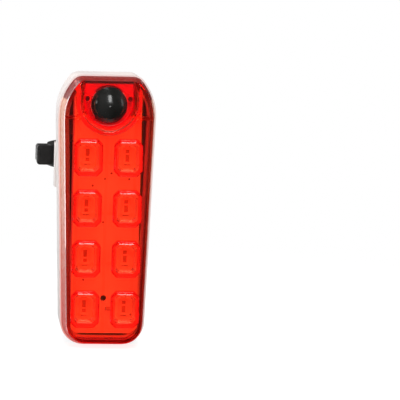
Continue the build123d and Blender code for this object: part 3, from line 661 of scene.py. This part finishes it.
tree, shader, place = new_finish("solder")
mould(
    tree, shader, place, (0.6, 0.6, 0.58, 1), (0.48, 0.48, 0.47, 1),
    smooth=0.2, rough=0.35, grain=9000, depth=0.01 * mm, patches=2000,
)
shader.inputs["Metallic"].default_value = 1
ramps = []
for name in led_names:
    low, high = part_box(name)
    middle_x = (low.x + high.x) / 2
    ramps += [solder_ramp(middle_x, high.z, 1), solder_ramp(middle_x, low.z, -1)]
add_piece("led_solder", ramps, tree, "cover")

# Switch and plunger. Black nylon, moulded with a fine grain. The switch is soldered to the board under
# the button, and its plunger carries the button's push.
tree, shader, place = new_finish("switch_body")
mould(
    tree, shader, place, (0.02, 0.02, 0.02, 1), (0.035, 0.034, 0.032, 1),
    smooth=0.4, rough=0.6, grain=9000, depth=0.02 * mm, patches=500,
)
dress(tree, "tact_switch", "switch_plunger")


# Chip. A black moulded package with a dimple that marks its first leg, and tinned legs at its upper and
# lower sides.
def metal_where(tree, shader, place, share, pale, deep):
    """Turns a share of the surface to bright metal, with a colour that drifts between two."""
    drift = node_of(tree, "ShaderNodeTexNoise", Vector=place, Scale=3000.0, Detail=2.0)
    metal = blended(tree, drift.outputs[0], pale, deep)
    body = shader.inputs["Base Color"].links[0].from_socket
    tree.links.new(blended(tree, share, body, metal), shader.inputs["Base Color"])
    tree.links.new(share, shader.inputs["Metallic"])
    rough = shader.inputs["Roughness"].links[0].from_socket
    smoother = worked(tree, "MULTIPLY", rough, ramped(tree, share, 0, 1, 1.0, 0.6))
    tree.links.new(smoother, shader.inputs["Roughness"])


chip_low, chip_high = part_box("controller_chip")
chip_middle = (chip_low + chip_high) / 2
chip_half_width = 1.95 * mm
leg_edge = 0.05 * mm
dimple_radius = 0.35 * mm
dimple_edge = 0.08 * mm
dimple_depth = 0.1 * mm
dimple_aside = 1.7 * mm
dimple_above = 1.2 * mm
tree, shader, place = new_finish("chip_body")
mould(
    tree, shader, place, (0.025, 0.025, 0.025, 1), (0.04, 0.04, 0.038, 1),
    smooth=0.5, rough=0.7, grain=9000, depth=0.02 * mm, patches=500,
)
axes = node_of(tree, "ShaderNodeSeparateXYZ", Vector=place).outputs
from_middle = worked(tree, "ABSOLUTE", worked(tree, "SUBTRACT", axes["Z"], chip_middle.z))
legs = ramped(tree, from_middle, chip_half_width, chip_half_width + leg_edge)
metal_where(tree, shader, place, legs, (0.66, 0.66, 0.64, 1), (0.52, 0.52, 0.5, 1))
from_dimple = node_of(tree, "ShaderNodeVectorMath", operation="DISTANCE")
tree.links.new(place, from_dimple.inputs[0])
from_dimple.inputs[1].default_value = (-dimple_aside, chip_high.y, chip_middle.z + dimple_above)
dimple = ramped(tree, from_dimple.outputs["Value"], dimple_radius - dimple_edge, dimple_radius)
dent = node_of(tree, "ShaderNodeBump", Strength=1.0, Distance=dimple_depth, Height=dimple)
tree.links.new(shader.inputs["Normal"].links[0].from_socket, dent.inputs["Normal"])
tree.links.new(dent.outputs[0], shader.inputs["Normal"])
dress(tree, "controller_chip")

# Resistors. Four stand in a row on the board's back and one lies across on its front, all soldered down.
# Each is a dark chip with tinned ends, but for the tan body of the front one.
part_half_body = 0.65 * mm
part_half_length = 1.0 * mm
part_edge = 0.05 * mm
front_part_x = 1.6 * mm
front_depth = 0.02 * mm
row_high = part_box("resistors")[1]
back_z = row_high.z - part_half_length
tree, shader, place = new_finish("chip_part")
mould(
    tree, shader, place, (0.03, 0.03, 0.032, 1), (0.045, 0.044, 0.042, 1),
    smooth=0.35, rough=0.5, grain=9000, depth=0.01 * mm, patches=900,
)
axes = node_of(tree, "ShaderNodeSeparateXYZ", Vector=place).outputs
at_front = ramped(tree, axes["Y"], board_low.y - front_depth, board_low.y, 1.0, 0.0)
dark = shader.inputs["Base Color"].links[0].from_socket
tree.links.new(blended(tree, at_front, dark, (0.55, 0.4, 0.26, 1)), shader.inputs["Base Color"])
from_back = worked(tree, "ABSOLUTE", worked(tree, "SUBTRACT", axes["Z"], back_z))
from_front = worked(tree, "ABSOLUTE", worked(tree, "SUBTRACT", axes["X"], front_part_x))
back_share = worked(tree, "MULTIPLY", from_back, worked(tree, "SUBTRACT", 1.0, at_front))
front_share = worked(tree, "MULTIPLY", from_front, at_front)
from_body = worked(tree, "ADD", back_share, front_share)
ends = ramped(tree, from_body, part_half_body, part_half_body + part_edge)
metal_where(tree, shader, place, ends, (0.66, 0.66, 0.64, 1), (0.52, 0.52, 0.5, 1))
dress(tree, "resistors")

# Board screws. Two small self-tapping screws of blackened steel, driven from the back, which hold the
# board to the lens.
tree, shader, place = new_finish("black_screw")
mould(
    tree, shader, place, (0.03, 0.03, 0.032, 1), (0.05, 0.048, 0.046, 1),
    smooth=0.3, rough=0.45, grain=6000, depth=0.01 * mm, patches=900,
)
shader.inputs["Metallic"].default_value = 0.6
dress(tree, "board_screws")

# Battery tray. Black ABS, moulded with a mat grain. It lies on the shell's floor under the cells, and its
# two end walls carry the contacts.
tree, shader, place = new_finish("black_tray")
mould(
    tree, shader, place, (0.02, 0.02, 0.02, 1), (0.032, 0.031, 0.03, 1),
    smooth=0.45, rough=0.6, grain=5000, depth=0.03 * mm, patches=150,
)
dress(tree, "battery_tray")

# Cells. Two AAA cells in a plain shrunk sleeve, slate grey with a narrow pale band at the positive end.
# Both ends are bare nickel-plated steel.
nub_and_rim = 1.4 * mm
base_rim = 0.5 * mm
band_length = 3 * mm
band_edge = 0.05 * mm
rim_edge = 0.03 * mm
for name, up in (("cell_left", 1), ("cell_right", -1)):
    cell_low, cell_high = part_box(name)
    half_length = (cell_high.z - cell_low.z) / 2
    tree, shader, place = new_finish("cell_sleeve")
    mould(
        tree, shader, place, (0.13, 0.15, 0.17, 1), (0.1, 0.12, 0.14, 1),
        smooth=0.22, rough=0.35, grain=3000, depth=0.01 * mm, patches=200,
    )
    height = node_of(tree, "ShaderNodeSeparateXYZ", Vector=place).outputs["Z"]
    from_middle = worked(tree, "SUBTRACT", height, (cell_high.z + cell_low.z) / 2)
    towards_nub = worked(tree, "MULTIPLY", from_middle, up)
    sleeve_end = half_length - nub_and_rim
    base_end = base_rim - half_length
    band_start = sleeve_end - band_length
    band = ramped(tree, towards_nub, band_start, band_start + band_edge)
    sleeve = shader.inputs["Base Color"].links[0].from_socket
    tree.links.new(blended(tree, band, sleeve, (0.62, 0.62, 0.58, 1)), shader.inputs["Base Color"])
    bare_nub = ramped(tree, towards_nub, sleeve_end, sleeve_end + rim_edge)
    bare_base = ramped(tree, towards_nub, base_end, base_end + rim_edge, 1.0, 0.0)
    bare = worked(tree, "MAXIMUM", bare_nub, bare_base)
    metal_where(tree, shader, place, bare, (0.7, 0.69, 0.66, 1), (0.6, 0.59, 0.57, 1))
    dress(tree, name)

# Steel fittings: the contacts, the clamp's hinge pin, nut, washer and screw. They are stamped or turned
# from plated steel, which has a fine spangle, drawn lines and a few dull patches.
plated, given, put = shared(
    "plated_surface", {"Place": "Vector", "Spangle": "Float"}, {"Tone": "Float", "Height": "Float"}
)
crystal = node_of(plated, "ShaderNodeTexVoronoi", Vector=given["Place"], Scale=given["Spangle"])
dull = node_of(plated, "ShaderNodeTexNoise", Vector=given["Place"], Scale=600.0, Detail=3.0)
grey = node_of(plated, "ShaderNodeSeparateColor", Color=crystal.outputs["Color"]).outputs[0]
dulled = ramped(plated, dull.outputs[0], 0.4, 0.65)
plated.links.new(
    worked(plated, "ADD", worked(plated, "MULTIPLY", grey, 0.5), worked(plated, "MULTIPLY", dulled, 0.5)),
    put["Tone"],
)
drawn_place = node_of(plated, "ShaderNodeMapping", Vector=given["Place"])
drawn_place.inputs["Scale"].default_value = (0.05, 1, 1)
lines = node_of(plated, "ShaderNodeTexNoise", Vector=drawn_place.outputs[0], Scale=9000.0, Detail=2.0)
plated.links.new(lines.outputs[0], put["Height"])


def plate(tree, shader, place, bright, dull, smooth, rough, spangle):
    """Gives a shader a plated surface: its tone moves it between two colours and two roughnesses. The
    spangle is a count to the metre."""
    made = node_of(tree, "ShaderNodeGroup", node_tree=plated, Place=place, Spangle=spangle)
    tone = made.outputs["Tone"]
    tree.links.new(blended(tree, tone, bright, dull), shader.inputs["Base Color"])
    tree.links.new(ramped(tree, tone, 0, 1, smooth, rough), shader.inputs["Roughness"])
    drawn = made.outputs["Height"]
    bump = node_of(tree, "ShaderNodeBump", Strength=0.6, Distance=0.004 * mm, Height=drawn)
    tree.links.new(bump.outputs[0], shader.inputs["Normal"])
    shader.inputs["Metallic"].default_value = 1


tree, shader, place = new_finish("plated_steel")
plate(
    tree, shader, place, (0.68, 0.68, 0.67, 1), (0.5, 0.49, 0.47, 1),
    smooth=0.2, rough=0.42, spangle=3500.0,
)
dress(
    tree, "bridge_contact", "positive_contact", "negative_contact", "clamp_hinge_pin", "clamp_nut",
    "clamp_screw", "clamp_washer",
)
steel_tree = tree


# Contact springs. Each is a cone wound from plated spring wire, with its wide end on its plate, its
# narrow end against the cell and its end turns closed up. Its rise is the share of its turns, less a sine
# of it that flattens both ends.
def tube(centres, inner_side, thickness, sides=10):
    """Rings of a round wire along a path: each ring stands square to the path, and starts on the side
    that points away from the path's own axis."""
    ahead = np.gradient(centres, axis=0)
    ahead /= np.linalg.norm(ahead, axis=1, keepdims=True)
    outward = centres - inner_side
    outward -= ahead * (outward * ahead).sum(1, keepdims=True)
    outward /= np.linalg.norm(outward, axis=1, keepdims=True)
    third = np.cross(ahead, outward)
    angle = np.linspace(0, 2 * pi, sides, endpoint=False)
    return centres[:, None] + thickness * (
        np.cos(angle)[None, :, None] * outward[:, None] + np.sin(angle)[None, :, None] * third[:, None]
    )


wire_radius = 0.24 * mm
wide_radius = 3.0 * mm
narrow_radius = 2.0 * mm
spring_turns = 4.5
end_closing = 0.8
for name, up in (("contact_spring_left", 1), ("contact_spring_right", -1)):
    low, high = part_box(name)
    axis_x, axis_y = (low.x + high.x) / 2, (low.y + high.y) / 2
    share = np.linspace(0, 1, 200)
    rise = share - end_closing * np.sin(2 * pi * share) / (2 * pi)
    turn = 2 * pi * spring_turns * share
    reach = (wide_radius + (narrow_radius - wide_radius) * rise) - wire_radius
    length = high.z - low.z - 2 * wire_radius
    start = low.z + wire_radius if up > 0 else high.z - wire_radius
    height = start + up * length * rise
    centres = np.stack([axis_x + reach * np.cos(turn), axis_y + reach * np.sin(turn), height], -1)
    axis_line = np.stack([np.full_like(height, axis_x), np.full_like(height, axis_y), height], -1)
    wire = tube(centres, axis_line, wire_radius)
    spring = add_piece(f"{name}_wire", [wire], steel_tree, "lamp")
    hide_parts(name)


# Clamp screw. An M2.5 screw of plated steel, whose shank has a rolled thread. It runs from the rear half's
# ear into the square nut in the front half's, and draws the clamp shut.
def threaded(axis_x, axis_z, start_y, end_y, core, crest, pitch, sides=36):
    """Rings of a threaded rod along Y: the radius rises and falls evenly between core and crest, once
    in each pitch, and the rise turns with the angle, so it winds."""
    along = np.arange(start_y, end_y, pitch / 10)[:, None]
    angle = np.linspace(0, 2 * pi, sides, endpoint=False)[None, :]
    phase = (along / pitch - angle / (2 * pi)) % 1
    radius = core + (crest - core) * (1 - np.abs(2 * phase - 1))
    return np.stack(
        [axis_x + radius * np.cos(angle), along + 0 * angle, axis_z - radius * np.sin(angle)], -1
    )


thread_core = 1.01 * mm
thread_crest = 1.24 * mm
thread_pitch = 0.45 * mm
bare_point = 0.3 * mm
screw_low, screw_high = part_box("clamp_screw")
washer_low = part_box("clamp_washer")[0]
screw_middle = (screw_low + screw_high) / 2
thread = threaded(
    screw_middle.x, screw_middle.z, screw_low.y + bare_point, washer_low.y,
    thread_core, thread_crest, thread_pitch,
)
add_piece("clamp_screw_thread", [thread], steel_tree, "clamp_screw")

# Clamp. Two halves of black glass-filled nylon, moulded with a fine grain, hinged at the right and drawn
# together by the screw at the left. The front half carries the tongue for the lamp's dock.
tree, shader, place = new_finish("black_clamp")
mould(
    tree, shader, place, (0.014, 0.014, 0.014, 1), (0.026, 0.025, 0.024, 1),
    smooth=0.32, rough=0.5, grain=4000, depth=0.03 * mm, patches=150,
)
dress(tree, "clamp_front", "clamp_rear")

# Clamp pads. Two strips of black rubber, moulded with grooves that run along the post. Each is held in
# one half of the clamp and grips the seatpost.
tree, shader, place = new_finish("pad_rubber")
mould(
    tree, shader, place, (0.03, 0.03, 0.03, 1), (0.05, 0.048, 0.046, 1),
    smooth=0.6, rough=0.8, grain=6000, depth=0.04 * mm, patches=300,
)
dress(tree, "clamp_front_pad", "clamp_rear_pad")
